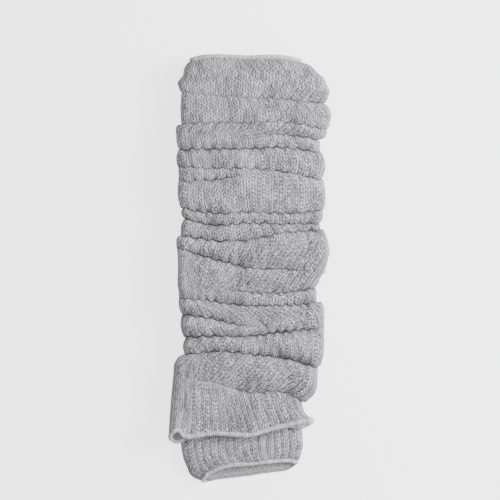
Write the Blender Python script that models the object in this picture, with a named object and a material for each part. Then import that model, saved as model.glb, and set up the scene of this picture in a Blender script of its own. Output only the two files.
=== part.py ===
"""A pair of long rib-knit leg warmers, scrunched up and laid one on the other.

Metres, +Z up, with the origin under the middle of the pair. The tables are in
millimetres: x across the pair, up along it from its lower end, and heights over
the face that each leg warmer lies on. Each one is a knitted tube pushed together
until it stands in rolls. A fold line parts each roll from the next, and a pale
rolled edging is sewn round each mouth.
"""

from collections import namedtuple

import bpy
import numpy as np

MM = 0.001

# Knit cloth
WALL = 2.6
RIBS_OVER = 17  # ribs that show from the left side over the top to the right one
RIB_DEEP = 1.1
PLAIN_SKIN = 0.01  # just inside the outer face, where no ribs are raised
RIB_SHARP = 0.35  # radians between the two flanks of a rib, past which its edge is sharp
RIB_FADE = 3.0  # height over which the ribs come up from the flat underside
SIDE_ROUND = 6.5  # half thickness of the tube where it turns over at its sides
CROWN = 0.2  # how much higher a roll stands in its middle than at its sides

# Folds
FOLD_REACH = 10.0  # how far from its fold line a roll has risen to its full height
MIN_REACH = 0.5
TOP_HIGH = 12.0  # height of the stretch between the upper mouth and its shoulder
TURN_POINTS = 15  # on a section line, round each side
TOP_POINTS = 62  # and over the top
ROLL_ROWS = (0.12, 0.5, 0.88)  # shares of the way from one fold line to the next
LINING_ROWS = (0.25, 0.75)  # the same inside the tube
UNDER_POINTS = 9  # points across the underside, between its corners

# Edging and layers
EDGE_RADIUS = 1.8
SEAM_GAP = 0.3
EDGE_GAP = 0.8  # from the middle of a rim to its edging, less at the corners of both
LAYER = 14.0  # height of the lower leg warmer under the upper one
MIDDLE = (-0.3, 181.5)  # of the pair, across and up, in the tables

STATIONS = (-58.0, -28.0, 1.0, 31.0, 61.0)  # where a fold line's values are given
LEAN_STATIONS = (-60.0, 0.0, 60.0)

# A fold line, then the roll below it. up and deep are the line's place and depth at
# the stations. lean is how far the ribs are pushed sideways where they meet it.
Fold = namedtuple("Fold", "name up deep left right lean roll_left roll_right roll_high")
# A tube's open end. front and back are where its upper and under panels end, and turn is
# how roundly the sides curve in to it, 0 to 1.
Mouth = namedtuple("Mouth", "stations front back high left right turn")
Tube = namedtuple("Tube", "base ceiling top folds hem")

UPPER = Tube(
    base=LAYER + SEAM_GAP,
    ceiling=100.0,
    top=Mouth(
        stations=(-50, -40, 0, 30, 44),
        front=(357, 359, 359, 359, 356.5),
        back=(357, 359, 359, 359, 356.5),
        high=(9, 11.5, 11.5, 11.5, 9),
        left=-49.5,
        right=44,
        turn=0,
    ),
    folds=(
        Fold("shoulder", (346, 347, 348, 347, 342), (0, 0, 0, 0, 0), -55.5, 63.5, (0, 0, 6), -60, 67.5, 12.5),
        Fold("first", (332, 329, 327, 326, 324), (1, 1, 1, 2, 3), -56.5, 63.5, (0, 0, -4), -58, 68.5, 13.5),
        Fold("second", (307, 306, 306, 307, 301), (1.5, 1.5, 2, 3, 3.5), -56.5, 67.5, (0, 1, 5), -61, 66, 13.5),
        Fold("right nick", (297, 296, 296, 296, 291), (0, 0, 0, 2.5, 5), -61.5, 58, (0, 0, 0), -61.5, 60.5, 13),
        Fold("third", (283, 284, 284, 285, 281), (4, 5, 5, 5, 4), -58, 60.5, (0, -1, -2), -61, 65, 13.5),
        Fold("fourth", (269, 267, 267, 264, 259), (2.5, 3.5, 3.5, 4, 4), -60, 62, (0, 0, 2), -59.5, 64, 13),
        Fold("left tuck", (256, 258, 262, 253, 247), (1.5, 3, 0, 0, 0), -59.5, 65, (0, 0, 1), -60, 65, 12.5),
        Fold("fifth", (233, 229, 230, 229, 231), (4, 4, 4, 4, 3), -55.5, 61.5, (0, 1, 2), -57.5, 63, 13),
        Fold("sixth", (224, 219, 221, 220, 220), (3, 5.2, 4.3, 3.5, 4), -54.5, 59, (1, 2, 4), -57, 60, 13),
        Fold("seventh", (210, 206, 207, 213, 215), (4, 6, 5, 2.5, 5), -57.5, 61, (0, 5, 9), -61.5, 67.5, 14),
        Fold("slanting", (200, 190, 183, 179, 174), (1, 5, 4.5, 3, 0), -61.5, 62, (0, 0, -4), -59.5, 59, 13),
        Fold("right tuck", (168, 166, 162, 162, 167), (0, 0, 3, 3.5, 6), -60, 55, (0, -3, -8), -59.5, 57.5, 13),
        Fold("eighth", (157, 154, 151, 151, 154), (2.5, 4, 4, 4, 4), -59, 58, (0, -5, -8), -59, 64, 13.5),
        Fold("left slant", (144, 139, 133, 139, 143), (4, 5, 1, 0, 0), -55.5, 64, (0, 0, -1), -58, 64, 14),
        Fold("ninth", (123, 125, 125, 129, 132), (5, 6.5, 6.3, 7, 3), -53, 64, (0, 5, 6), -55.5, 64, 14.5),
        Fold("tenth", (109, 112, 110, 106, 97), (4, 5, 5, 8, 7), -53, 58, (0, 6, 8), -64, 57.5, 14),
        Fold("last", (90, 86, 77, 77, 61), (0, 1.5, 3, 3, 7), -64.5, 44, (0, 0, -3), -66, 47, 11),
    ),
    hem=Mouth(
        stations=(-67, -61.5, -59, -57.5, -56, -50, -43, -33, -12, 1, 14, 31, 43, 53),
        front=(43, 46, 45.5, 43.5, 41, 40.5, 41.5, 43.5, 42.5, 42, 45.5, 50, 53, 55),
        back=(39, 35.5, 36, 38, 40, 41, 42.5, 44, 43.5, 43, 46, 49.5, 48.5, 54),
        high=(12, 12.5, 12, 10.5, 8.5, 7.5, 7.5, 7.5, 7.5, 7.5, 7.5, 7.5, 8, 7),
        left=-67.8,
        right=53.5,
        turn=0,
    ),
)

LOWER = Tube(
    base=0.0,
    ceiling=LAYER,
    top=Mouth(
        stations=(-45, -35, 0, 28, 38),
        front=(350, 352, 352, 352, 349),
        back=(350, 352, 352, 352, 349),
        high=(9, 10.8, 10.8, 10.8, 9),
        left=-45,
        right=38,
        turn=0,
    ),
    folds=(
        Fold("shoulder", (340, 341, 342, 341, 337), (0, 0, 0, 0, 0), -50.5, 53, (0, 0, 0), -54, 58, 12.5),
        Fold("first", (328, 326, 325, 326, 328), (3, 3, 3, 3, 4), -51, 56, (0, 2, 0), -55, 60, 13.5),
        Fold("second", (305, 307, 307, 306, 303), (4, 4.5, 4, 4, 5), -52, 55, (0, -2, 0), -55, 58, 13.5),
        Fold("third", (285, 283, 282, 283, 284), (4, 3, 4, 5, 4), -52.5, 54, (0, 3, 0), -55.5, 59, 13.5),
        Fold("fourth", (260, 262, 264, 266, 267), (5, 4.2, 4, 4, 3), -52, 57, (0, -2, 0), -54.5, 60, 13),
        Fold("fifth", (237, 234, 234, 237, 239), (3, 4, 5, 4, 4), -52, 56, (0, 0, 0), -54, 58.5, 13.5),
        Fold("sixth", (216, 214, 215, 218, 220), (5, 5, 4, 3, 5), -51.5, 54, (0, 2, 0), -55, 60, 13.5),
        Fold("seventh", (193, 196, 199, 196, 190), (4, 4, 3, 4, 5), -52, 55, (0, -2, 0), -55, 56, 13),
        Fold("eighth", (172, 170, 168, 170, 173), (5, 4.2, 4, 4, 4), -52, 52, (0, 0, 0), -54.5, 56, 13.5),
        Fold("ninth", (149, 151, 153, 155, 156), (4, 4, 4, 5, 4), -51.5, 53, (0, 3, 0), -53, 57, 13.5),
        Fold("tenth", (128, 126, 125, 123, 121), (5, 5, 5, 4, 5), -50, 54, (0, 0, 0), -53, 56.5, 13.5),
        Fold("eleventh", (104, 106, 109, 105, 101), (4, 5, 4, 4, 5), -50.5, 50, (0, -2, 0), -56, 50, 13.5),
        Fold("twelfth", (81, 79, 79, 82, 84), (3, 3, 2, 3, 4), -55, 43, (0, 0, 0), -57, 40, 13.5),
        Fold("cuff fold", (55, 58, 59, 60, 61), (3, 3, 3, 3, 2), -56, 40, (0, 0, 0), -57.5, 45, 13),
        Fold("cuff bend", (33, 32, 31, 31, 31), (0, 0, 0, 0, 0), -58, 46.5, (0, 2, 4), -56.5, 45.5, 11.5),
        Fold("cuff end", (18, 20, 24, 25, 23), (0, 0, 0, 0, 0), -55, 44.5, (2, 4, 6), -51.5, 43.5, 10.5),
    ),
    hem=Mouth(
        stations=(-39, -34.5, -28.5, -16, 1, 18, 35, 42),
        front=(5, 10.5, 13.5, 17, 18, 19, 19.5, 18.5),
        back=(2, 3, 4, 5, 6.5, 9, 12, 17.5),
        high=(7, 8.5, 10, 10.5, 10.5, 10, 8.5, 7),
        left=-40,
        right=42,
        turn=1,
    ),
)

KNIT_COLOUR = (0.402, 0.398, 0.418, 1.0)
EDGE_COLOUR = (0.530, 0.530, 0.550, 1.0)


def smooth_curve(x, stations, values):
    """A smooth curve through a table's values, level past its ends, read at x."""
    stations = np.asarray(stations, float)
    values = np.asarray(values, float)
    x = np.clip(x, stations[0], stations[-1])
    slopes = np.gradient(values, stations)
    i = np.clip(np.searchsorted(stations, x) - 1, 0, len(stations) - 2)
    span = stations[i + 1] - stations[i]
    t = (x - stations[i]) / span
    start = values[i] * (1 + 2 * t) * (1 - t) ** 2 + slopes[i] * span * t * (1 - t) ** 2
    end = values[i + 1] * t**2 * (3 - 2 * t) - slopes[i + 1] * span * t**2 * (1 - t)
    return start + end


def rise(q):
    """How deep the cloth still lies at q of a fold's reach: 1 in the fold, 0 on the roll, as a round arc."""
    away = 1 - np.clip(q, 0, 1)
    return 1 - np.sqrt(1 - away**2)


def end_rise(q, turn):
    """The same for the tube's outline: an arc where turn is 1, and straight where it is 0."""
    return turn * rise(q) + (1 - turn) * (1 - min(q, 1.0))


def line_up(line, x, share_up):
    """Where a line runs at x. A mouth's two panels end apart, and share_up tells them apart."""
    if isinstance(line, Fold):
        return smooth_curve(x, STATIONS, line.up)
    front = smooth_curve(x, line.stations, line.front)
    back = smooth_curve(x, line.stations, line.back)
    return back + (front - back) * share_up


def line_deep(line, x):
    return smooth_curve(x, STATIONS, line.deep) if isinstance(line, Fold) else np.zeros_like(x)


def side_turns(line):
    """How roundly the left and right sides curve in to a line. One with no depth runs straight out."""
    if isinstance(line, Mouth):
        return line.turn, line.turn
    return np.minimum(1.0, line_deep(line, np.array([line.left, line.right])) / 2)


def line_lean(line, x):
    return np.interp(x, LEAN_STATIONS, line.lean) if isinstance(line, Fold) else np.zeros_like(x)


def roll_of(tube, number):
    """(left, right, height) of the roll under line number: the first one hangs from the top mouth."""
    if number == 0:
        first = tube.folds[0]
        return (tube.top.left + first.left) / 2, (tube.top.right + first.right) / 2, TOP_HIGH
    fold = tube.folds[number - 1]
    return fold.roll_left, fold.roll_right, fold.roll_high


def line_high(tube, number, x):
    """Height of the cloth along line number before its depth is taken off."""
    lines = lines_of(tube)
    if isinstance(lines[number], Mouth):
        return smooth_curve(x, lines[number].stations, lines[number].high)
    return np.full_like(x, (roll_of(tube, number - 1)[2] + roll_of(tube, number)[2]) / 2)


def lines_of(tube):
    return (tube.top, *tube.folds, tube.hem)


def section_at(tube, number, share, inset):
    """(left, right, high) of the section at share of the way from line number to the next.

    inset is how far inside the cloth's outer face it runs, and high gives its height at x.
    """
    lines = lines_of(tube)
    above, below = lines[number], lines[number + 1]
    roll_left, roll_right, roll_high = roll_of(tube, number)
    nearest = number if share < 0.5 else number + 1
    line = lines[nearest]
    q = 2 * min(share, 1 - share)
    turn_left, turn_right = side_turns(line)
    left = roll_left + (line.left - roll_left) * end_rise(q, turn_left)
    right = roll_right + (line.right - roll_right) * end_rise(q, turn_right)
    middle, half = (left + right) / 2, (right - left) / 2

    def high(x):
        apart = line_up(above, x, 1.0) - line_up(below, x, 1.0)
        reach = np.maximum(np.minimum(FOLD_REACH, apart / 2), MIN_REACH)
        deep = line_deep(above, x) * rise(share * apart / reach)
        deep += line_deep(below, x) * rise((1 - share) * apart / reach)
        level = roll_high + (line_high(tube, nearest, x) - roll_high) * (1 - q)
        crowned = level * (1 + CROWN * (1 - ((x - middle) / half) ** 2))
        return np.minimum(crowned - deep, tube.ceiling - tube.base) - 2 * inset

    return left + inset, right - inset, high


def section_line(tube, number, share, inset):
    """A section as closely spaced x and z, up its left side, over the top and down its right side.

    up is how much of each point belongs to the upper panel. Lines at other insets have
    their points in the same order, each straight under the outer face's.
    """
    left, right, high = section_at(tube, number, share, inset)
    side = SIDE_ROUND - inset
    turn = np.radians(np.linspace(-90, 90, TURN_POINTS))
    top_x = np.linspace(left + side, right - side, TOP_POINTS)[1:-1]
    left_x = left + side * (1 - np.cos(turn))
    right_x = right - side * (1 - np.cos(turn))
    x = np.concatenate([left_x, top_x, right_x[::-1]])
    side_up = (1 + np.sin(turn)) / 2
    up = np.concatenate([side_up, np.ones_like(top_x), side_up[::-1]])
    return x, high(np.clip(x, left + side, right - side)) * up, up


def rib_places(tube, number, share, step):
    """Where the ribs' grooves and crests stand on a section line, as fractions of its numbering."""
    x, z, _ = section_line(tube, number, share, 0.0)
    along = np.concatenate([[0], np.cumsum(np.hypot(np.diff(x), np.diff(z)))])
    above, below = lines_of(tube)[number : number + 2]
    lean = line_lean(above, x) * (1 - share) + line_lean(below, x) * share
    shares = np.arange(0, 2 * RIBS_OVER + 1, step) / (2 * RIBS_OVER)
    places = shares * along[-1]
    places = places + np.interp(places, along, lean) * np.sin(np.pi * shares)
    return np.interp(places, along, np.arange(len(x)))


def ring_points(tube, number, share, inset, step):
    """One ring round the tube, from the left corner of its underside over the top and back.

    step takes every point or every second one. The places along the tube are read in
    the middle of the cloth, so that a mouth's rim is square.
    """
    at = rib_places(tube, number, share, step)
    line_x, line_z, _ = section_line(tube, number, share, inset)
    mid_line_x, _, line_up_share = section_line(tube, number, share, WALL / 2)
    numbering = np.arange(len(line_x))
    x, z, mid_x, up = (np.interp(at, numbering, v) for v in (line_x, line_z, mid_line_x, line_up_share))
    if not inset:
        run = np.hypot(np.gradient(line_x), np.gradient(line_z))
        groove = RIB_DEEP * (np.arange(len(at)) % 2 == 0) * np.clip(z / RIB_FADE, 0, 1)
        x = x + groove * np.interp(at, numbering, np.gradient(line_z) / run)
        z = z - groove * np.interp(at, numbering, np.gradient(line_x) / run)
    under = np.arange(step, UNDER_POINTS + 1, step) / (UNDER_POINTS + 1)
    x = np.concatenate([x, x[-1] + (x[0] - x[-1]) * under])
    mid_x = np.concatenate([mid_x, mid_x[-1] + (mid_x[0] - mid_x[-1]) * under])
    z = np.concatenate([z, np.zeros_like(under)])
    up = np.concatenate([up, np.zeros_like(under)])
    above, below = lines_of(tube)[number : number + 2]
    y = line_up(above, mid_x, up) * (1 - share) + line_up(below, mid_x, up) * share
    return np.column_stack([x, y, z + inset + tube.base])


def rows_of(tube, shares, inset, step):
    """Rings of points from the top mouth to the hem."""
    last = len(lines_of(tube)) - 2
    rows = []
    for number in range(last + 1):
        rows += [ring_points(tube, number, share, inset, step) for share in (0.0, *shares)]
    rows.append(ring_points(tube, last, 1.0, inset, step))
    return rows


def centred(points):
    """A table's millimetres in the part's frame, in metres."""
    return (np.asarray(points) - (*MIDDLE, 0)) * MM


def make_material(name, colour, roughness):
    material = bpy.data.materials.new(name)
    material.use_nodes = True
    shader = material.node_tree.nodes["Principled BSDF"]
    shader.inputs["Base Color"].default_value = colour
    shader.inputs["Roughness"].default_value = roughness
    shader.inputs["Metallic"].default_value = 0.0
    return material


def add_object(name, data, material, parent):
    data.materials.append(material)
    item = bpy.data.objects.new(name, data)
    item.parent = parent
    bpy.context.collection.objects.link(item)
    return item


def skin_faces(rows, first, outward):
    """Quads between rings of equal size, whose points are numbered from first."""
    count = len(rows[0])
    faces = []
    for number in range(len(rows) - 1):
        start = first + number * count
        for i in range(count):
            j = (i + 1) % count
            face = (start + i, start + j, start + count + j, start + count + i)
            faces.append(face if outward else face[::-1])
    return faces


def taper_faces(wide, narrow, count, flipped):
    """Triangles from a ring of count points, numbered from wide, to one of half as many."""
    faces = []
    for i in range(count // 2):
        a, b, c = wide + 2 * i, wide + 2 * i + 1, wide + (2 * i + 2) % count
        p, q = narrow + i, narrow + (i + 1) % (count // 2)
        found = [(a, b, p), (b, q, p), (b, c, q)]
        faces += [face[::-1] for face in found] if flipped else found
    return faces


def make_leg_warmer(name, tube, material, parent):
    """A knitted tube: its ribbed outer skin with the rims turned in at both mouths, and its plain lining."""
    last = len(lines_of(tube)) - 2
    skin = [ring_points(tube, 0, 0.0, WALL, 1)]
    skin += rows_of(tube, ROLL_ROWS, 0.0, 1)
    skin += [ring_points(tube, last, 1.0, WALL, 1)]
    lining = rows_of(tube, LINING_ROWS, WALL, 2)[1:-1]
    count = len(skin[0])
    first = len(skin) * count
    faces = skin_faces(skin, 0, outward=False) + skin_faces(lining, first, outward=True)
    faces += taper_faces(0, first, count, flipped=False)
    faces += taper_faces(first - count, first + (len(lining) - 1) * count // 2, count, flipped=True)
    mesh = bpy.data.meshes.new(name)
    mesh.from_pydata(centred(np.concatenate(skin + lining)).tolist(), [], faces)
    mesh.shade_smooth()
    mesh.set_sharp_from_angle(angle=RIB_SHARP)
    return add_object(name, mesh, material, parent)


def edging_path(tube, at_top):
    """Round a mouth, just off the middle of its rim and square to it."""
    number, share = (0, 0.0) if at_top else (len(lines_of(tube)) - 2, 1.0)
    outer = ring_points(tube, number, share, PLAIN_SKIN, 1)
    rim = ring_points(tube, number, share, WALL / 2, 1)
    along = np.roll(rim, -1, axis=0) - np.roll(rim, 1, axis=0)
    away = np.cross(outer - rim, along) if at_top else np.cross(along, outer - rim)
    away /= np.linalg.norm(away, axis=1, keepdims=True)
    path = rim + away * (EDGE_GAP + EDGE_RADIUS)
    path[:, 2] = np.maximum(path[:, 2], tube.base + EDGE_RADIUS)
    return path


def make_edging(name, tube, at_top, material, parent):
    """The pale rolled edging, a bevelled closed curve."""
    path = centred(edging_path(tube, at_top))
    curve = bpy.data.curves.new(name, "CURVE")
    curve.dimensions = "3D"
    curve.bevel_depth = EDGE_RADIUS * MM
    curve.bevel_resolution = 1
    spline = curve.splines.new("POLY")
    spline.points.add(len(path) - 1)
    for point, place in zip(spline.points, path):
        point.co = (*place, 1.0)
    spline.use_cyclic_u = True
    return add_object(name, curve, material, parent)


def main():
    for item in list(bpy.data.objects):
        bpy.data.objects.remove(item, do_unlink=True)
    knit = make_material("heather grey rib knit", KNIT_COLOUR, 0.95)
    edging = make_material("pale rolled edging", EDGE_COLOUR, 0.85)
    pair = bpy.data.objects.new("leg_warmer_pair", None)
    bpy.context.collection.objects.link(pair)
    for side, tube in (("upper", UPPER), ("lower", LOWER)):
        make_leg_warmer(f"{side}_leg_warmer", tube, knit, pair)
        make_edging(f"{side}_top_edge", tube, True, edging, pair)
        make_edging(f"{side}_hem_edge", tube, False, edging, pair)


main()
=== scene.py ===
from collections import namedtuple

import bpy
import numpy as np
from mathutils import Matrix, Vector


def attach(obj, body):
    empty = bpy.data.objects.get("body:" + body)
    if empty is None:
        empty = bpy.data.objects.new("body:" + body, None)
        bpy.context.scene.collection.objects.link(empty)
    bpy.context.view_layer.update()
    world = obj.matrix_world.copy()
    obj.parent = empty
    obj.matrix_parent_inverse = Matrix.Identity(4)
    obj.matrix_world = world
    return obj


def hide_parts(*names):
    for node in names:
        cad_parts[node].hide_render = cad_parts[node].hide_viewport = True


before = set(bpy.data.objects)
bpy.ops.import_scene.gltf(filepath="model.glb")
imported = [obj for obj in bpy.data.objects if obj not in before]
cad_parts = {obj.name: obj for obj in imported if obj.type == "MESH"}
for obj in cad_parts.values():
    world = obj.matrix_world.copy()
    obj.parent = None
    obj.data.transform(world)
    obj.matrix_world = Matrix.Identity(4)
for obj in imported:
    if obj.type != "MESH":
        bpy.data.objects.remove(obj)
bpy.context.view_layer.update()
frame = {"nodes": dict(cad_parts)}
print("frame loaded:", ", ".join(frame["nodes"]))

mm = 0.001
middle = (-0.3, 181.5)  # of the pair, across and up, in the tables below

# Lengths are in millimetres: x across the pair, up along it from its lower end, and heights
# over the face that each leg warmer lies on. Waves are 2 pi times as long as their values.
cloth = {
    "wall": 2.6,
    "pointsOnRib": 9,
    "pointsUnder": 26,
    "sideRound": 6.5,
    "crown": 0.2,  # share by which a roll stands higher in its middle
    "foldReach": 13.0,  # how far from its fold line a roll has risen to its full height
    "minReach": 0.5,
    "foldDeeper": 2.0,  # times the depths in the tables
    "thinnestInside": 0.5,
    "lip": 1.0,  # how far a roll bulges towards the fold line half way down
    "lipFrom": 3.0,  # depth of a fold from which its lip is whole
    "lipShare": 0.8,  # of the way to the fold line, at most
    "overhang": 0.9,  # how far a crease leans, so that the roll above laps over the one below
    "scallop": 2.1,  # how far the ribs of a roll hang over its fold line
    "scallopMiddle": 0.64,  # keeps the scallops half above and half below the line
    "scallopUneven": 0.25,  # share by which they grow larger and smaller across the tube
    "scallopWave": 12.0,
    "wander": 0.4,  # how far the fold line wavers besides
    "wanderWaves": (5.2, 11.0),
    "wanderTurn": 1.7,  # sets each line's waves apart from the next one's
    "ribPitch": 9.1,
    "foldUneven": 0.3,  # share by which a fold's depth varies
    "foldWaves": (5.1, 8.4),
    "sideUneven": 0.3,
    "sideStep": 3.1,  # radians from one fold line to the next
    "sideTurn": 0.65,  # how round the notches at the sides are, from 0 to 1
    "sideTurnFrom": 2.0,  # depth of a fold from which its notch is that round
    "topHigh": 12.0,  # of the roll at the upper mouth
    "topBulge": 2.5,
    "ribsUnder": 13,
    "sectionTop": 180,  # points that a section line is worked out from
    "sectionSide": 41,
    "fewestRows": 7,
    "rowsToFolds": 0.7,  # how much closer the rows of points lie near a fold, from 0 to 1
    "underToSides": 0.8,  # and the points underneath near the two sides
    "pinch": 0.6,  # how unevenly wide the ribs are
    "pinchSize": 15.0,
    "pinchStep": 4.0,  # from one fold line to the next
    "pinchSeed": 5,
    "stitchHigh": 3.4,  # one row of knitting
    "liningStep": 3,  # the inside takes every third point, which thinning counts on
    "liningRow": 4.0,
    "hillSize": 30.0,
    "hillHigh": 0.9,
    "hillRise": 6.0,  # height over which hills and dents come in above the flat underside
    "prouder": (0.3, 0.6),  # how far the soft left and right sides stand out past the solid ones
    "ribDeep": 0.75,
    "ribRise": 3.0,  # height over which the ribs come in above the flat underside
    "ribUneven": 0.8,
    "ribHills": 60.0,  # noise scale of that unevenness
    "grooveWide": 0.3,  # of a rib
    "leanGain": 1.4,  # how soon cloth dragged aslant counts as fully so
}

stations = (-58.0, -28.0, 1.0, 31.0, 61.0)  # x of the values in a fold's up and deep
leanStations = (-60.0, 0.0, 60.0)  # and in its lean, how far the ribs are pushed sideways
# left and right end the fold line, and the last three values are of the roll below it
fold = namedtuple("fold", "up deep left right lean rollLeft rollRight rollHigh")

upperLegWarmer = {
    "name": "upperKnit",
    "node": "upper_leg_warmer",
    "base": 14.3,
    "ceiling": 100.0,
    "rowStep": 1.15,
    "ribsOver": 17,  # ribs from the left side over the top to the right one
    "top": {
        "stations": (-50, -40, 0, 30, 44),
        "front": (357, 359, 359, 359, 356.5),
        "back": (357, 359, 359, 359, 356.5),
        "high": (9, 11.5, 11.5, 11.5, 9),
        "left": -49.5,
        "right": 44,
        "turn": 0.5,
        "lean": (0, 0, 28),
    },
    "folds": (
        fold((346, 347, 348, 347, 342), (0, 0, 0, 0, 0), -55.5, 64.5, (0, 0, 11), -60, 68.6, 12.5),
        fold((332, 329, 327, 326, 322.5), (1, 1, 1, 2, 3), -56.5, 62.3, (0, 0, -6), -58, 70, 13.5),
        fold((305, 306, 306, 307, 301), (1.5, 1.5, 2, 3, 3.5), -56.5, 67.5, (0, 2, 9), -61, 66, 13.5),
        fold((297, 296, 296, 296, 291), (0, 0, 0, 2.5, 5), -61.5, 58, (0, -1, 3), -61.5, 60.5, 13),
        fold((283, 284, 284, 285, 281), (4, 5, 5, 5, 4.5), -58, 60.5, (0, -1, -2), -61, 65, 13.5),
        fold((269, 267, 267, 264, 257.5), (2.5, 3.5, 3.5, 4, 4), -60, 60.7, (0, 0, 2), -59.5, 64, 13),
        fold((256, 258, 262, 253, 247), (1.5, 3, 0, 0, 0), -59.5, 65, (0, 0, 1), -60, 65, 12.5),
        fold((233, 229, 230, 229, 231), (4, 4, 4, 4, 3), -55.5, 61.5, (0, 1, 2), -57.5, 63, 13),
        fold((225.5, 219, 221, 220, 220), (3, 5.2, 4.3, 3.5, 4), -53.5, 60, (1, 2, 4), -57, 60, 13),
        fold((210, 206, 207, 213, 215), (4, 6, 5, 2.5, 5), -57.5, 61, (0, 7, 14), -61.5, 68.7, 14),
        fold((200, 190, 183, 181.5, 178), (2.5, 5.5, 5.5, 2.2, 0), -61.5, 64.5, (0, -4, -16), -59.5, 60, 13),
        fold((168, 166, 162, 162, 167), (0, 0, 3, 3.5, 6), -60, 55, (-2, -14, -28), -59.5, 57.5, 13),
        fold((157, 154, 151, 151, 154), (4, 4.5, 4.5, 4.5, 4), -59, 58, (0, -14, -28), -59, 64, 13.5),
        fold((144, 139, 133, 139, 143), (4, 5, 1, 0, 0), -55.5, 64, (3, 3, -14), -58, 64, 14),
        fold((123, 125, 125, 129, 132), (5, 6.5, 6.3, 7, 3), -53, 64, (4, 11, -3), -55.5, 64, 14.5),
        fold((109, 112, 110, 106, 97), (4, 5, 5, 8, 7), -53, 58.5, (4, 9, 4), -63.6, 57.6, 14),
        fold((90, 85, 77, 77, 58), (0, 0.8, 2.6, 1.5, 2), -64, 44, (2, -12, -13), -66, 47, 11),
    ),
    "hem": {
        "stations": (-66, -61.5, -59, -57.9, -56.4, -54.6, -50, -43, -33, -12, 1, 14, 31, 43, 53),
        "front": (43.5, 46, 46, 45.6, 43.4, 41.1, 40.3, 41.3, 43, 42, 41.8, 45.3, 49.8, 53, 55),
        "back": (37, 35.6, 36, 36.8, 38.3, 40.3, 41.2, 42.5, 44, 43.5, 43, 46, 49.5, 49.5, 54),
        "high": (12, 12.5, 12, 11.5, 10, 8.5, 7.5, 7.5, 7.5, 7.5, 7.5, 7.5, 7.5, 8, 7),
        "left": -67.5,
        "right": 53.5,
        "turn": 0,
        "lean": (0, -4, 0),
    },
    "seed": 3,
    "ribUps": (40, 72, 85, 357),
    "ribStrengths": (0.6, 0.4, 0.15, 0.15),
    "dents": (
        (((-40, 76), (2, 77), (30, 77)), 1.0, 3.0),
        (((-9, 167), (-3, 168)), 1.6, 3.5),
        (((48, 140), (49, 150)), 1.0, 1.0),
        (((50, 193), (51, 205)), 0.8, 1.5),
        (((-15, 152), (6, 140), (14, 132)), 0.7, 2.0),
        (((-32, 215), (-28, 204)), 0.5, 2.0),
    ),
    "edgeAcross": (-66, -58, -54, 38, 46, 60),  # x of each value in edgeThick
    "edgeThick": (0.95, 0.92, 1.0, 1.0, 1.45, 1.6),
    "paleUnder": 1.0,  # how pale the edging is on the underside, from 0 to 1
}

lowerLegWarmer = {
    "name": "lowerKnit",
    "node": "lower_leg_warmer",
    "base": 0.0,
    "ceiling": 14.0,  # no roll rises past this, hills aside
    "rowStep": 1.7,
    "ribsOver": 20,
    "top": {
        "stations": (-45, -35, 0, 28, 38),
        "front": (350, 352, 352, 352, 349),
        "back": (350, 352, 352, 352, 349),
        "high": (9, 10.8, 10.8, 10.8, 9),
        "left": -45,
        "right": 38,
        "turn": 0,
        "lean": (0, 0, 0),
    },
    "folds": (
        fold((340, 341, 342, 341, 337), (0, 0, 0, 0, 0), -50.5, 53, (0, 0, 0), -54, 58, 12.5),
        fold((328, 326, 325, 326, 328), (3, 3, 3, 3, 4), -51, 56, (0, 2, 0), -55, 60, 13.5),
        fold((305, 307, 307, 306, 303), (4, 4.5, 4, 4, 5), -52, 55, (0, -2, 0), -55, 58, 13.5),
        fold((285, 283, 282, 283, 284), (4, 3, 4, 5, 4), -52.5, 54, (0, 3, 0), -55.5, 59, 13.5),
        fold((260, 262, 264, 266, 267), (5, 4.2, 4, 4, 3), -52, 57, (0, -2, 0), -54.5, 60, 13),
        fold((237, 234, 234, 237, 239), (3, 4, 5, 4, 4), -52, 56, (0, 0, 0), -54, 58.5, 13.5),
        fold((216, 214, 215, 218, 220), (5, 5, 4, 3, 5), -51.5, 54, (0, 2, 0), -55, 60, 13.5),
        fold((193, 196, 199, 196, 190), (4, 4, 3, 4, 5), -52, 55, (0, -2, 0), -55, 56, 13),
        fold((172, 170, 168, 170, 173), (5, 4.2, 4, 4, 4), -52, 52, (0, 0, 0), -54.5, 56, 13.5),
        fold((149, 151, 153, 155, 156), (4, 4, 4, 5, 4), -51.5, 53, (0, 3, 0), -53, 57, 13.5),
        fold((128, 126, 125, 123, 121), (5, 5, 5, 4, 5), -50, 54, (0, 0, 0), -53, 56.5, 13.5),
        fold((104, 106, 109, 105, 101), (4, 5, 4, 4, 5), -50.5, 50, (0, -2, 0), -56, 50, 13.5),
        fold((81, 79, 79, 82, 84), (3, 3, 2, 3, 4), -55, 43, (0, 0, 0), -57, 40, 13.5),
        fold((55, 58, 59, 60, 61), (3, 3, 3, 3, 2), -56, 40, (0, 0, 0), -57.5, 45, 13),
        fold((33, 32, 31, 31, 31), (0, 0, 0, 0, 0), -58, 46.5, (-3, 0, 3), -56.5, 45.5, 11.5),
        fold((18, 20, 24, 25, 23), (0, 0, 0, 0, 0), -55, 44.5, (-5, 1, 5), -51.5, 43.5, 10.5),
    ),
    "hem": {
        "stations": (-39, -34.5, -28.5, -16, 1, 18, 35, 42),
        "front": (4.4, 8.6, 11.3, 14.9, 16.4, 18.2, 18.8, 17.8),
        "back": (-0.8, 1.2, 2.7, 4.3, 6.3, 9, 12, 17),
        "high": (7, 8.5, 10, 10.5, 10.5, 10, 8.5, 7),
        "left": -40,
        "right": 42,
        "turn": 1,
        "lean": (-6, 1, 4),
    },
    "seed": 8,
    "ribUps": (5, 60, 90, 352),
    "ribStrengths": (0.62, 0.62, 0.3, 0.3),
    "dents": (
        (((-55, 37), (-54, 34)), 2.5, 1.8),
        (((6.5, 39), (7, 35)), 2.0, 1.3),
    ),
    "edgeAcross": (-40, -30, 20, 42),
    "edgeThick": (0.85, 0.9, 0.85, 0.8),
    "paleUnder": 0.15,
}


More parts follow.
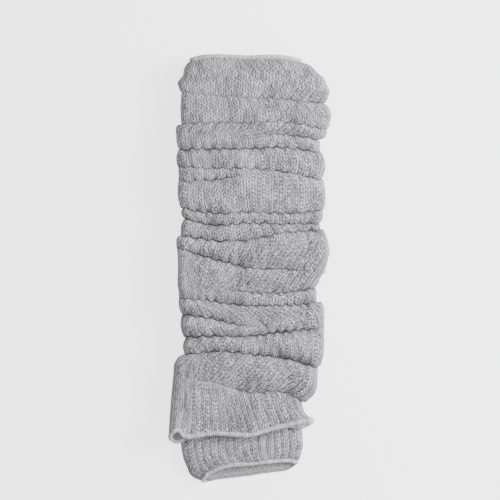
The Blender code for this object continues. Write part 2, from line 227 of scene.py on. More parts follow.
def smoothCurve(x, places, values):
    places = np.asarray(places, float)
    values = np.asarray(values, float)
    x = np.clip(x, places[0], places[-1])
    slopes = np.gradient(values, places)
    i = np.clip(np.searchsorted(places, x) - 1, 0, len(places) - 2)
    span = places[i + 1] - places[i]
    t = (x - places[i]) / span
    start = values[i] * (1 + 2 * t) * (1 - t) ** 2 + slopes[i] * span * t * (1 - t) ** 2
    end = values[i + 1] * t**2 * (3 - 2 * t) - slopes[i + 1] * span * t**2 * (1 - t)
    return start + end


def sink(q):  # 1 in a fold, 0 on the roll, as a round arc
    away = 1 - np.clip(q, 0, 1)
    return 1 - np.sqrt(1 - away**2)


def sideSink(q, turn):  # the same for the outline: an arc where turn is 1, straight where it is 0
    return turn * sink(q) + (1 - turn) * (1 - min(q, 1.0))


def linesOf(tube):
    return (tube["top"], *tube["folds"], tube["hem"])


def lineSides(line):
    return (line.left, line.right) if isinstance(line, fold) else (line["left"], line["right"])


def waver(line, x):  # scallops, one for each rib, and a slow wander
    phase = cloth["wanderTurn"] * line.up[1]
    rib = (x - lineLean(line, x)) / cloth["ribPitch"] + phase
    uneven = cloth["scallopUneven"]
    sizes = 1 - uneven + uneven * np.sin(x / cloth["scallopWave"] + phase)
    scallops = (cloth["scallopMiddle"] - np.abs(np.cos(np.pi * rib))) * sizes
    short, long = cloth["wanderWaves"]
    slowly = np.sin(x / short + 2 * phase) * np.sin(x / long + phase)
    return cloth["scallop"] * scallops + cloth["wander"] * slowly


def lineUp(line, x, shareUp):
    if isinstance(line, fold):
        return smoothCurve(x, stations, line.up) + waver(line, x)
    front = smoothCurve(x, line["stations"], line["front"])
    back = smoothCurve(x, line["stations"], line["back"])
    return back + (front - back) * shareUp


def lineDeep(line, x):
    if isinstance(line, fold):
        short, long = cloth["foldWaves"]
        uneven = np.sin(x / short + line.up[2]) * np.sin(x / long + 2 * line.up[0])
        deep = smoothCurve(x, stations, line.deep) * cloth["foldDeeper"]
        return deep * (1 + cloth["foldUneven"] * uneven)
    return np.zeros_like(x)


def lineLean(line, x):
    return np.interp(x, leanStations, line.lean if isinstance(line, fold) else line["lean"])


def sideTurns(line):
    if not isinstance(line, fold):
        return line["turn"], line["turn"]
    deep = lineDeep(line, np.array([line.left, line.right]))
    return cloth["sideTurn"] * np.minimum(1.0, deep / cloth["sideTurnFrom"])


def rollOf(tube, number):
    if number == 0:
        first = tube["folds"][0]
        left = (tube["top"]["left"] + first.left) / 2 - cloth["topBulge"]
        right = (tube["top"]["right"] + first.right) / 2 + cloth["topBulge"]
        return left, right, cloth["topHigh"]
    above = tube["folds"][number - 1]
    return above.rollLeft, above.rollRight, above.rollHigh


def lineHigh(tube, number, x):
    line = linesOf(tube)[number]
    if not isinstance(line, fold):
        return smoothCurve(x, line["stations"], line["high"])
    return np.full_like(x, (rollOf(tube, number - 1)[2] + rollOf(tube, number)[2]) / 2)


# One ring of the tube, share of the way from line number to the next. step thins its
# points, and inset is how far inside the outer face it runs.
def ringPoints(tube, number, share, inset=0.0, step=1):
    lines = linesOf(tube)
    above, below = lines[number], lines[number + 1]
    rollLeft, rollRight, rollHigh = rollOf(tube, number)
    nearest = number if share < 0.5 else number + 1
    q = 2 * min(share, 1 - share)
    lineLeft, lineRight = lineSides(lines[nearest])
    turnLeft, turnRight = sideTurns(lines[nearest])
    uneven = cloth["sideStep"] * (number + share)
    left = rollLeft + (lineLeft - rollLeft) * sideSink(q, turnLeft)
    left = left - cloth["prouder"][0] + cloth["sideUneven"] * np.sin(uneven)
    right = rollRight + (lineRight - rollRight) * sideSink(q, turnRight)
    right = right + cloth["prouder"][1] + cloth["sideUneven"] * np.sin(uneven + 2)
    mid, half = (left + right) / 2, (right - left) / 2
    side, wall = cloth["sideRound"], cloth["wall"]
    topX = np.linspace(left + side, right - side, cloth["sectionTop"])[1:-1]
    turn = np.radians(np.linspace(-90, 90, cloth["sectionSide"]))

    def sunk(x):  # how deep below the roll's top, and how far it bulges along the tube
        apart = lineUp(above, x, 1.0) - lineUp(below, x, 1.0)
        reach = np.maximum(np.minimum(cloth["foldReach"], apart / 2), cloth["minReach"])
        deep, bulge = 0.0, 0.0
        for line, away, towards in ((above, share, 1), (below, 1 - share, -1)):
            lineSink = sink(away * apart / reach)
            lineDepth = lineDeep(line, x)
            lip = cloth["lip"] * np.sin(np.pi * lineSink) * np.clip(lineDepth / cloth["lipFrom"], 0, 1)
            deep = deep + lineDepth * lineSink
            bulge = bulge + towards * np.minimum(lip, cloth["lipShare"] * away * np.maximum(apart, 0))
            bulge = bulge - lip / cloth["lip"] * cloth["overhang"]
        return deep, bulge

    def high(x):  # of the outer face
        level = rollHigh + (lineHigh(tube, nearest, x) - rollHigh) * (1 - q)
        crowned = level * (1 + cloth["crown"] * (1 - ((x - mid) / half) ** 2))
        lowest = 2 * wall + cloth["thinnestInside"]
        return np.clip(crowned - sunk(x)[0], lowest, tube["ceiling"] - tube["base"])

    def section(atInset):  # a fine section line, its sides half ellipses
        r = side - atInset
        leftX = left + atInset + r * (1 - np.cos(turn))
        rightX = right - atInset - r * (1 - np.cos(turn))
        x = np.concatenate([leftX, topX, rightX[::-1]])
        up = (1 + np.sin(turn)) / 2
        up = np.concatenate([up, np.ones_like(topX), up[::-1]])
        return x, (high(np.clip(x, left + side, right - side)) - 2 * atInset) * up, up

    outerX, outerZ, upShare = section(0.0)
    numbering = np.arange(len(outerX))
    along = np.concatenate([[0], np.cumsum(np.hypot(np.diff(outerX), np.diff(outerZ)))])
    lean = lineLean(above, outerX) * (1 - share) + lineLean(below, outerX) * share
    count = tube["ribsOver"] * cloth["pointsOnRib"]
    shares = np.arange(0, count + 1, step) / count
    places = shares * along[-1]
    down = np.full_like(places, cloth["pinchStep"] * (number + share))
    pinched = unevenness(places, down, cloth["pinchSize"], cloth["pinchSeed"])
    shift = np.interp(places, along, lean) + cloth["pinch"] * pinched
    places = places + shift * np.sin(np.pi * shares)
    at = np.interp(places, along, numbering)
    lineX, lineZ, _ = section(inset)
    x, z, up = (np.interp(at, numbering, v) for v in (lineX, lineZ, upShare))
    midX = np.interp(at, numbering, section(wall / 2)[0])  # so that a mouth's rim is square
    bulge = sunk(np.clip(x, left + side, right - side))[1] * up
    under = underShares(step, cloth["pointsUnder"])
    x = np.concatenate([x, x[-1] + (x[0] - x[-1]) * under])
    midX = np.concatenate([midX, midX[-1] + (midX[0] - midX[-1]) * under])
    z, up, bulge = (np.concatenate([v, np.zeros_like(under)]) for v in (z, up, bulge))
    y = lineUp(above, midX, up) * (1 - share) + lineUp(below, midX, up) * share + bulge
    return np.column_stack([x, y, z + inset + tube["base"]])


def rowShares(tube, number, rowStep):  # closer together near the two fold lines
    lines = linesOf(tube)
    at = np.array(stations[1:4])
    apart = float(np.mean(lineUp(lines[number], at, 1.0) - lineUp(lines[number + 1], at, 1.0)))
    count = max(cloth["fewestRows"], int(apart / rowStep) + cloth["fewestRows"])
    t = np.arange(count) / count
    return t - cloth["rowsToFolds"] * np.sin(2 * np.pi * t) / (2 * np.pi)


def ringRows(tube, rowStep, inset=0.0, step=1):
    last = len(linesOf(tube)) - 2
    rows = [
        ringPoints(tube, number, share, inset, step)
        for number in range(last + 1)
        for share in rowShares(tube, number, rowStep)
    ]
    return np.array(rows + [ringPoints(tube, last, 1.0, inset, step)])


def underShares(step, last):  # of the way back under the tube, closer together at its sides
    t = np.arange(step, last + 1, step) / (cloth["pointsUnder"] + 1)
    return t - cloth["underToSides"] * np.sin(2 * np.pi * t) / (2 * np.pi)


def ribNumbers(tube, step=1):  # which rib each ring point is on, and one more to close the ring
    over = np.arange(0, tube["ribsOver"] * cloth["pointsOnRib"] + 1, step) / cloth["pointsOnRib"]
    under = underShares(step, cloth["pointsUnder"] + 1)
    return np.concatenate([over, tube["ribsOver"] + cloth["ribsUnder"] * under])


def onTop(tube, points):  # 0 on the flat underside, 1 on the rolls
    return np.clip((points[..., 2] - tube["base"]) / cloth["hillRise"] - 0.5, 0, 1)


def dent(tube, points):  # soft troughs and hollows between the folds
    for line, deep, wide in tube["dents"]:
        nearest = np.full(points.shape[:2], np.inf)
        for start, end in zip(line[:-1], line[1:]):
            start, end = np.array(start, float), np.array(end, float)
            run = end - start
            t = np.clip(((points[..., :2] - start) @ run) / (run @ run), 0, 1)
            away = points[..., :2] - (start + t[..., None] * run)
            nearest = np.minimum(nearest, np.hypot(away[..., 0], away[..., 1]))
        points[..., 2] -= deep * np.exp(-((nearest / wide) ** 2)) * onTop(tube, points)


# Smooth unevenness of about -1 to 1, with hills about size apart, the same each run.
def unevenness(x, y, size, seed):
    waves, shortest, longest, evenedBy = 9, 0.7, 1.6, 4
    rng = np.random.default_rng(seed)
    total = np.zeros_like(x)
    for _ in range(waves):
        angle, phase = rng.uniform(0, 2 * np.pi, 2)
        wave = size * rng.uniform(shortest, longest)
        total += np.sin((x * np.cos(angle) + y * np.sin(angle)) * 2 * np.pi / wave + phase)
    return total / evenedBy


def toFrame(points):
    return (np.asarray(points) - (*middle, 0)) * mm


def tidyNodes(tree):  # sets them out in columns
    wide, high, inColumn = 220, 190, 4
    for i, node in enumerate(tree.nodes):
        node.location = (wide * (i // inColumn), -high * (i % inColumn))


def newTree(name, sockets):
    tree = bpy.data.node_groups.new(name, "GeometryNodeTree")
    tree.interface.new_socket("Geometry", in_out="INPUT", socket_type="NodeSocketGeometry")
    for socketName, kind in sockets:
        tree.interface.new_socket(socketName, in_out="INPUT", socket_type=f"NodeSocket{kind}")
    tree.interface.new_socket("Geometry", in_out="OUTPUT", socket_type="NodeSocketGeometry")
    return tree


def addNode(tree, kind, inputs=None, **settings):
    node = tree.nodes.new(kind)
    for key, value in settings.items():
        setattr(node, key, value)
    for key, value in (inputs or {}).items():
        if isinstance(value, bpy.types.NodeSocket):
            tree.links.new(value, node.inputs[key])
        else:
            node.inputs[key].default_value = value
    return node


def addMath(tree, operation, a, b=0.5, c=0.5):
    return addNode(tree, "ShaderNodeMath", {0: a, 1: b, 2: c}, operation=operation).outputs[0]


def endTree(tree, geometry, material):
    real = addNode(tree, "GeometryNodeRealizeInstances", {"Geometry": geometry})
    last = addNode(tree, "GeometryNodeSetMaterial", {"Geometry": real.outputs[0], "Material": material})
    out = tree.nodes.new("NodeGroupOutput")
    tree.links.new(last.outputs[0], out.inputs[0])
    tidyNodes(tree)


# Grooves between the ribs, pushed in along the cloth's normal. They read where each point
# is on its rib, and how strong the ribs are there.
def ribTree():
    sockets = [("Groove Depth", "Float"), ("Groove Width", "Float"), ("Unevenness", "Float"),
               ("Hill Size", "Float"), ("Material", "Material")]
    tree = newTree("raisedRibs", sockets)
    group = tree.nodes.new("NodeGroupInput").outputs
    rib = addNode(tree, "GeometryNodeInputNamedAttribute", {"Name": "rib"}, data_type="FLOAT")
    strength = addNode(tree, "GeometryNodeInputNamedAttribute", {"Name": "ribStrength"}, data_type="FLOAT")
    middleOfRib = addMath(tree, "FRACT", addMath(tree, "ADD", rib.outputs[0], 0.5))
    away = addMath(tree, "ABSOLUTE", addMath(tree, "SUBTRACT", middleOfRib, 0.5))
    groove = addNode(
        tree, "ShaderNodeMapRange",
        {"Value": away, "From Min": 0.0, "From Max": group["Groove Width"], "To Min": 1.0, "To Max": 0.0},
        interpolation_type="SMOOTHSTEP",
    )
    place = tree.nodes.new("GeometryNodeInputPosition")
    hills = addNode(
        tree, "ShaderNodeTexNoise",
        {"Vector": place.outputs[0], "Scale": group["Hill Size"], "Detail": 2.0},
    )
    uneven = addMath(tree, "MULTIPLY_ADD", hills.outputs[0], group["Unevenness"], 1.0)
    uneven = addMath(tree, "SUBTRACT", uneven, addMath(tree, "MULTIPLY", group["Unevenness"], 0.5))
    deep = addMath(tree, "MULTIPLY", groove.outputs[0], strength.outputs[0])
    deep = addMath(tree, "MULTIPLY", addMath(tree, "MULTIPLY", deep, uneven), group["Groove Depth"])
    normal = tree.nodes.new("GeometryNodeInputNormal")
    offset = addNode(
        tree, "ShaderNodeVectorMath",
        {0: normal.outputs[0], "Scale": addMath(tree, "MULTIPLY", deep, -1.0)}, operation="SCALE",
    )
    moved = addNode(tree, "GeometryNodeSetPosition", {"Geometry": group[0], "Offset": offset.outputs[0]})
    endTree(tree, moved.outputs[0], group["Material"])
    return tree


edging = {
    "radius": 2.0,
    "sitsOut": 0.75,  # of its radius beyond the rim
    "step": 0.8,
    "pointsRound": 14,
    "uneven": 1.0,
    "hills": 380.0,  # noise scale of that unevenness
    "topRise": 2.0,  # height over which the edging turns pale
    "thinUnder": 0.6,  # share of its thickness where it isn't pale
    "skin": 0.01,  # inset of the ring that shows which way a rim faces
}


# A soft roll along a closed path. It keeps how far along and round it each point is.
def edgingTree():
    sockets = [("Radius", "Float"), ("Step", "Float"), ("Unevenness", "Float"), ("Material", "Material")]
    tree = newTree("rolledEdging", sockets)
    group = tree.nodes.new("NodeGroupInput").outputs
    curve = addNode(tree, "GeometryNodeMeshToCurve", {"Mesh": group[0]})
    fine = addNode(
        tree, "GeometryNodeResampleCurve",
        {"Curve": curve.outputs[0], "Length": group["Step"]}, mode="LENGTH",
    )
    thick = addNode(tree, "GeometryNodeInputNamedAttribute", {"Name": "thick"}, data_type="FLOAT")
    place = tree.nodes.new("GeometryNodeInputPosition")
    hills = addNode(
        tree, "ShaderNodeTexNoise",
        {"Vector": place.outputs[0], "Scale": edging["hills"], "Detail": 2.0},
    )
    uneven = addMath(tree, "MULTIPLY_ADD", hills.outputs[0], group["Unevenness"], 1.0)
    uneven = addMath(tree, "SUBTRACT", uneven, addMath(tree, "MULTIPLY", group["Unevenness"], 0.5))
    radius = addMath(tree, "MULTIPLY", addMath(tree, "MULTIPLY", thick.outputs[0], uneven), group["Radius"])
    sized = addNode(tree, "GeometryNodeSetCurveRadius", {"Curve": fine.outputs[0], "Radius": radius})
    alongCurve = tree.nodes.new("GeometryNodeSplineParameter")
    marked = addNode(
        tree, "GeometryNodeStoreNamedAttribute",
        {"Geometry": sized.outputs[0], "Name": "along", "Value": alongCurve.outputs["Length"]},
        data_type="FLOAT", domain="POINT",
    )
    ring = addNode(
        tree, "GeometryNodeCurvePrimitiveCircle",
        {"Resolution": edging["pointsRound"], "Radius": 1.0}, mode="RADIUS",
    )
    roundRing = tree.nodes.new("GeometryNodeSplineParameter")
    markedRing = addNode(
        tree, "GeometryNodeStoreNamedAttribute",
        {"Geometry": ring.outputs[0], "Name": "round", "Value": roundRing.outputs["Factor"]},
        data_type="FLOAT", domain="POINT",
    )
    sweep = addNode(
        tree, "GeometryNodeCurveToMesh",
        {"Curve": marked.outputs[0], "Profile Curve": markedRing.outputs[0], "Scale": radius},
    )
    smooth = addNode(tree, "GeometryNodeSetShadeSmooth", {"Geometry": sweep.outputs[0]})
    endTree(tree, smooth.outputs[0], group["Material"])
    return tree


# Runs a tree on a mesh and leaves a plain mesh of its result.
def bake(obj, tree, values):
    modifier = obj.modifiers.new(tree.name, "NODES")
    modifier.node_group = tree
    sockets = {item.name: item.identifier for item in tree.interface.items_tree if item.in_out == "INPUT"}
    for name, value in values.items():
        modifier[sockets[name]] = value
    obj.update_tag()
    bpy.context.view_layer.update()
    graph = bpy.context.evaluated_depsgraph_get()
    mesh = bpy.data.meshes.new_from_object(obj.evaluated_get(graph), depsgraph=graph)
    obj.modifiers.clear()
    old = obj.data
    obj.data = mesh
    mesh.name = obj.name
    bpy.data.meshes.remove(old)
    return obj


def addFloats(mesh, name, values):
    mesh.attributes.new(name, "FLOAT", "POINT").data.foreach_set("value", np.asarray(values, np.float32))


def newPiece(name, mesh):
    obj = bpy.data.objects.new(name, mesh)
    bpy.context.scene.collection.objects.link(obj)
    return obj


def newGroup(name, inputs, outputs):
    tree = bpy.data.node_groups.new(name, "ShaderNodeTree")
    for socketName, kind, value in inputs:
        socket = tree.interface.new_socket(socketName, in_out="INPUT", socket_type=f"NodeSocket{kind}")
        if value is not None:
            socket.default_value = value
    for socketName, kind in outputs:
        tree.interface.new_socket(socketName, in_out="OUTPUT", socket_type=f"NodeSocket{kind}")
    return tree


stitch = {
    "wales": 2.0,  # columns of stitches on a rib
    "slant": 1.2,  # how steep the arms of a V are
    "wander": 0.7,  # how far the stitches stray from their rows and columns
    "wanderScale": 0.9,
    "wanderAcross": 0.5,
    "wanderAlong": 1.2,
    "armGap": 0.72,  # how deep an arm sinks at its two ends
    "groove": (0.02, 0.2),  # share of a rib at which the groove beside it is whole, and gone
    "streakAcross": 9.0,
    "streakAlong": 0.4,
    "waleSharp": 2.5,
}


# Rows of V stitches on the cloth's own map: across in ribs, along in rows of knitting.
# Streak is where the cloth opens a little between the stitches, and Wale is the line between
# two columns of them.
def stitchGroup():
    tree = newGroup(
        "knitStitches",
        [("Vector", "Vector", None), ("Wales", "Float", stitch["wales"]),
         ("Slant", "Float", stitch["slant"]), ("Wander", "Float", stitch["wander"]),
         ("Arm Gap", "Float", stitch["armGap"])],
        [("Height", "Float"), ("Yarn", "Float"), ("Groove", "Float"), ("Streak", "Float"),
         ("Wale", "Float")],
    )
    group = tree.nodes.new("NodeGroupInput").outputs
    wander = addNode(
        tree, "ShaderNodeTexNoise",
        {"Vector": group[0], "Scale": stitch["wanderScale"], "Detail": 2.0, "Roughness": 0.6},
    )
    wanderParts = addNode(tree, "ShaderNodeSeparateColor", {0: wander.outputs["Color"]}).outputs
    place = addNode(tree, "ShaderNodeSeparateXYZ", {0: group[0]})
    shiftAcross, shiftAlong = (
        addMath(tree, "MULTIPLY", addMath(tree, "SUBTRACT", wanderParts[i], 0.5), group["Wander"])
        for i in (0, 1)
    )
    across = addMath(tree, "MULTIPLY_ADD", shiftAcross, stitch["wanderAcross"], place.outputs[0])
    wale = addMath(tree, "MULTIPLY", across, group["Wales"])
    inWale = addMath(tree, "SUBTRACT", addMath(tree, "FRACT", wale), 0.5)
    # 0 in the middle of a V and 1 at its edge
    arm = addMath(tree, "MULTIPLY", addMath(tree, "ABSOLUTE", inWale), 2.0)
    along = addMath(tree, "MULTIPLY_ADD", shiftAlong, stitch["wanderAlong"], place.outputs[1])
    row = addMath(tree, "MULTIPLY_ADD", arm, group["Slant"], along)
    inRow = addMath(tree, "MULTIPLY_ADD", addMath(tree, "FRACT", row), 2.0, -1.0)
    overRow = addMath(tree, "SUBTRACT", 1.0, addMath(tree, "MULTIPLY", inRow, inRow))
    offArm = addMath(tree, "MULTIPLY_ADD", arm, 2.0, -1.0)
    gap = addMath(tree, "MULTIPLY", addMath(tree, "MULTIPLY", offArm, offArm), group["Arm Gap"])
    high = addMath(tree, "MULTIPLY", overRow, addMath(tree, "SUBTRACT", 1.0, gap))
    cell = addNode(
        tree, "ShaderNodeCombineXYZ",
        {0: addMath(tree, "FLOOR", addMath(tree, "MULTIPLY", wale, 2.0)), 1: addMath(tree, "FLOOR", row)},
    )
    yarn = addNode(tree, "ShaderNodeTexWhiteNoise", {"Vector": cell.outputs[0]}, noise_dimensions="2D")
    toGroove = addMath(tree, "SUBTRACT", addMath(tree, "FRACT", addMath(tree, "ADD", across, 0.5)), 0.5)
    groove = addNode(
        tree, "ShaderNodeMapRange",
        {"Value": addMath(tree, "ABSOLUTE", toGroove), "From Min": stitch["groove"][0],
         "From Max": stitch["groove"][1], "To Min": 1.0, "To Max": 0.0},
        interpolation_type="SMOOTHSTEP",
    )
    long = addNode(
        tree, "ShaderNodeCombineXYZ",
        {0: addMath(tree, "MULTIPLY", across, stitch["streakAcross"]),
         1: addMath(tree, "MULTIPLY", along, stitch["streakAlong"])},
    )
    streak = addNode(tree, "ShaderNodeTexNoise", {"Vector": long.outputs[0], "Scale": 1.0, "Detail": 1.0})
    out = tree.nodes.new("NodeGroupOutput")
    waleLine = addMath(tree, "POWER", arm, stitch["waleSharp"])
    for i, value in enumerate((high, yarn.outputs[0], groove.outputs[0], streak.outputs[0], waleLine)):
        tree.links.new(value, out.inputs[i])
    tidyNodes(tree)
    return tree


# Lighter and darker hairs mixed in the yarn, and broad patches lighter and darker at random, partly wear and
# partly painted soft shade.
def heatherGroup():
    tree = newGroup(
        "heather",
        [("Vector", "Vector", None), ("Fleck Scale", "Float", 1200.0), ("Patch Scale", "Float", 45.0)],
        [("Fleck", "Float"), ("Patch", "Float")],
    )
    group = tree.nodes.new("NodeGroupInput").outputs
    fleck = addNode(
        tree, "ShaderNodeTexNoise", {"Vector": group[0], "Scale": group[1], "Detail": 3.0, "Roughness": 0.7}
    )
    patch = addNode(tree, "ShaderNodeTexNoise", {"Vector": group[0], "Scale": group[2], "Detail": 2.0})
    out = tree.nodes.new("NodeGroupOutput")
    tree.links.new(fleck.outputs[0], out.inputs[0])
    tree.links.new(patch.outputs[0], out.inputs[1])
    tidyNodes(tree)
    return tree


def newMaterial(name, finish):
    material = bpy.data.materials.new(name)
    material.use_nodes = True
    shader = material.node_tree.nodes["Principled BSDF"]
    shader.inputs["Roughness"].default_value = finish["roughness"]
    shader.inputs["Metallic"].default_value = 0.0
    shader.inputs["Sheen Weight"].default_value = finish["sheen"]
    shader.inputs["Sheen Roughness"].default_value = 0.6
    shader.inputs["Specular IOR Level"].default_value = 0.15
    return material, material.node_tree, shader


def mixColour(tree, share, a, b):  # the mix node's colours are its sockets 6 and 7
    return addNode(tree, "ShaderNodeMix", {0: share, 6: a, 7: b}, data_type="RGBA").outputs[2]


knitFinish = {
    "roughness": 0.95,
    "sheen": 0.12,
    "light": (0.97, 0.94, 1.0, 1.0),
    "dark": (0.37, 0.354, 0.42, 1.0),
    # gap is painted shade: a near black that stands for the shadow in the gaps between stitches and rows
    "gap": (0.03, 0.029, 0.038, 1.0),
    "contrast": 0.95,  # below 1 the strokes are fuller and the gaps narrower
    "yarnVaries": 0.8,
    "fleckVaries": 1.6,
    "streakVaries": 1.3,
    # broad random patches, lighter and darker: partly wear, partly painted soft shade
    "patchVaries": 0.7,
    # painted light: the lining inside the tube is painted paler to lift the shade that lies inside it
    "insidePaintedLight": 0.55,
    # the next two paint shade into the grooves between the ribs, a little everywhere and more where the ribs
    # stand out
    "grooveShade": 0.04,
    "ribGrooveShade": 0.14,
    "leanGapShade": 0.7,  # painted shade on the lines between the wales, where the cloth is dragged aslant
    "fleckHigh": 0.3,  # of a stitch
    "bump": 0.5,
    "stitchDeep": 0.0007,
}


def knitMaterial(name, stitches, heather):
    material, tree, shader = newMaterial(name, knitFinish)
    clothMap = addNode(tree, "ShaderNodeUVMap", uv_map="knit").outputs[0]
    ribs = addNode(tree, "ShaderNodeAttribute", attribute_name="ribStrength").outputs["Fac"]
    place = tree.nodes.new("ShaderNodeTexCoord").outputs["Object"]
    knit = addNode(tree, "ShaderNodeGroup", {"Vector": clothMap}, node_tree=stitches).outputs
    hairs = addNode(tree, "ShaderNodeGroup", {"Vector": place}, node_tree=heather).outputs
    tone = 0.5
    for value, share in (
        (knit["Yarn"], knitFinish["yarnVaries"]),
        (knit["Streak"], knitFinish["streakVaries"]),
        (hairs["Fleck"], knitFinish["fleckVaries"]),
        (hairs["Patch"], knitFinish["patchVaries"]),
    ):
        tone = addMath(tree, "MULTIPLY_ADD", addMath(tree, "SUBTRACT", value, 0.5), share, tone)
    # painted light on the lining, which lies in the shade inside the tube
    inside = addNode(tree, "ShaderNodeAttribute", attribute_name="inside").outputs["Fac"]
    tone = addMath(tree, "MULTIPLY_ADD", inside, knitFinish["insidePaintedLight"], tone)
    yarn = mixColour(tree, tone, knitFinish["dark"], knitFinish["light"])
    lean = addNode(tree, "ShaderNodeAttribute", attribute_name="lean").outputs["Fac"]
    # painted shade along the lines between the wales where the cloth runs aslant
    line = addMath(tree, "MULTIPLY", addMath(tree, "MULTIPLY", knit["Wale"], lean), knitFinish["leanGapShade"])
    # painted shade: each stitch fades to the near black gap colour towards its edges, where it sinks between
    # its neighbours
    over = addMath(tree, "POWER", knit["Height"], knitFinish["contrast"])
    over = addMath(tree, "MULTIPLY", over, addMath(tree, "SUBTRACT", 1.0, line))
    colour = mixColour(tree, over, knitFinish["gap"], yarn)
    # painted shade in the grooves between the ribs, deeper where the ribs are stronger
    dark = addMath(tree, "MULTIPLY_ADD", ribs, knitFinish["ribGrooveShade"], knitFinish["grooveShade"])
    dark = addMath(tree, "MULTIPLY", knit["Groove"], dark)
    colour = mixColour(tree, dark, colour, knitFinish["gap"])
    tree.links.new(colour, shader.inputs["Base Color"])
    high = addMath(tree, "MULTIPLY_ADD", hairs["Fleck"], knitFinish["fleckHigh"], knit["Height"])
    high = addMath(tree, "SUBTRACT", high, addMath(tree, "MULTIPLY", knit["Groove"], ribs))
    bump = addNode(
        tree, "ShaderNodeBump",
        {"Strength": knitFinish["bump"], "Distance": knitFinish["stitchDeep"], "Height": high},
    )
    tree.links.new(bump.outputs[0], shader.inputs["Normal"])
    tidyNodes(tree)
    return material


edgeFinish = {
    "roughness": 0.9,
    "sheen": 0.15,
    "light": (0.78, 0.765, 0.84, 1.0),
    "dark": (0.16, 0.155, 0.18, 1.0),
    "plain": (0.36, 0.355, 0.38, 1.0),  # where the edging isn't pale
    "strandsRound": 9.0,
    "strandsAlong": 420.0,  # to a metre
    "strandVaries": -0.6,
    "toneShift": -0.3,
    "fleckScale": 700.0,
    "fleckVaries": 2.2,
    "bump": 0.4,
    "strandDeep": 0.0003,
}


def edgingMaterial(heather):
    material, tree, shader = newMaterial("paleEdging", edgeFinish)
    place = tree.nodes.new("ShaderNodeTexCoord").outputs["Object"]
    along = addNode(tree, "ShaderNodeAttribute", attribute_name="along").outputs["Fac"]
    around = addNode(tree, "ShaderNodeAttribute", attribute_name="round").outputs["Fac"]
    aroundTurns = addMath(tree, "MULTIPLY", around, edgeFinish["strandsRound"])
    twist = addMath(tree, "MULTIPLY_ADD", along, edgeFinish["strandsAlong"], aroundTurns)
    strand = addMath(tree, "ABSOLUTE", addMath(tree, "SUBTRACT", addMath(tree, "FRACT", twist), 0.5))
    hairInputs = {"Vector": place, "Fleck Scale": edgeFinish["fleckScale"]}
    hairs = addNode(tree, "ShaderNodeGroup", hairInputs, node_tree=heather).outputs
    strandTone = addMath(tree, "MULTIPLY_ADD", strand, edgeFinish["strandVaries"], edgeFinish["toneShift"])
    tone = addMath(tree, "MULTIPLY_ADD", hairs["Fleck"], edgeFinish["fleckVaries"], strandTone)
    colour = mixColour(tree, tone, edgeFinish["dark"], edgeFinish["light"])
    pale = addNode(tree, "ShaderNodeAttribute", attribute_name="pale").outputs["Fac"]
    tree.links.new(mixColour(tree, pale, edgeFinish["plain"], colour), shader.inputs["Base Color"])
    bump = addNode(
        tree, "ShaderNodeBump",
        {"Strength": edgeFinish["bump"], "Distance": edgeFinish["strandDeep"],
         "Height": addMath(tree, "SUBTRACT", hairs["Fleck"], strand)},
    )
    tree.links.new(bump.outputs[0], shader.inputs["Normal"])
    tidyNodes(tree)
    return material


def quads(start, rows, count, outward):
    faces = []
    for r in range(rows - 1):
        a = start + r * count
        for i in range(count):
            j = (i + 1) % count
            face = (a + i, a + j, a + count + j, a + count + i)
            faces.append(face if outward else face[::-1])
    return faces


# Triangles from a full ring to one with a third of its points.
def thinning(wide, narrow, count, flipped):
    faces = []
    for i in range(count // 3):
        a = [wide + (3 * i + k) % count for k in range(4)]
        p, q = narrow + i, narrow + (i + 1) % (count // 3)
        found = [(a[0], a[1], p), (a[1], q, p), (a[1], a[2], q), (a[2], a[3], q)]
        faces += [face[::-1] for face in found] if flipped else found
    return faces


def stitchRows(rows, high):  # how many rows of knitting down the tube each point is
    steps = np.linalg.norm(np.diff(rows, axis=0), axis=2)
    return np.concatenate([np.zeros((1, rows.shape[1])), np.cumsum(steps, axis=0)]) / high


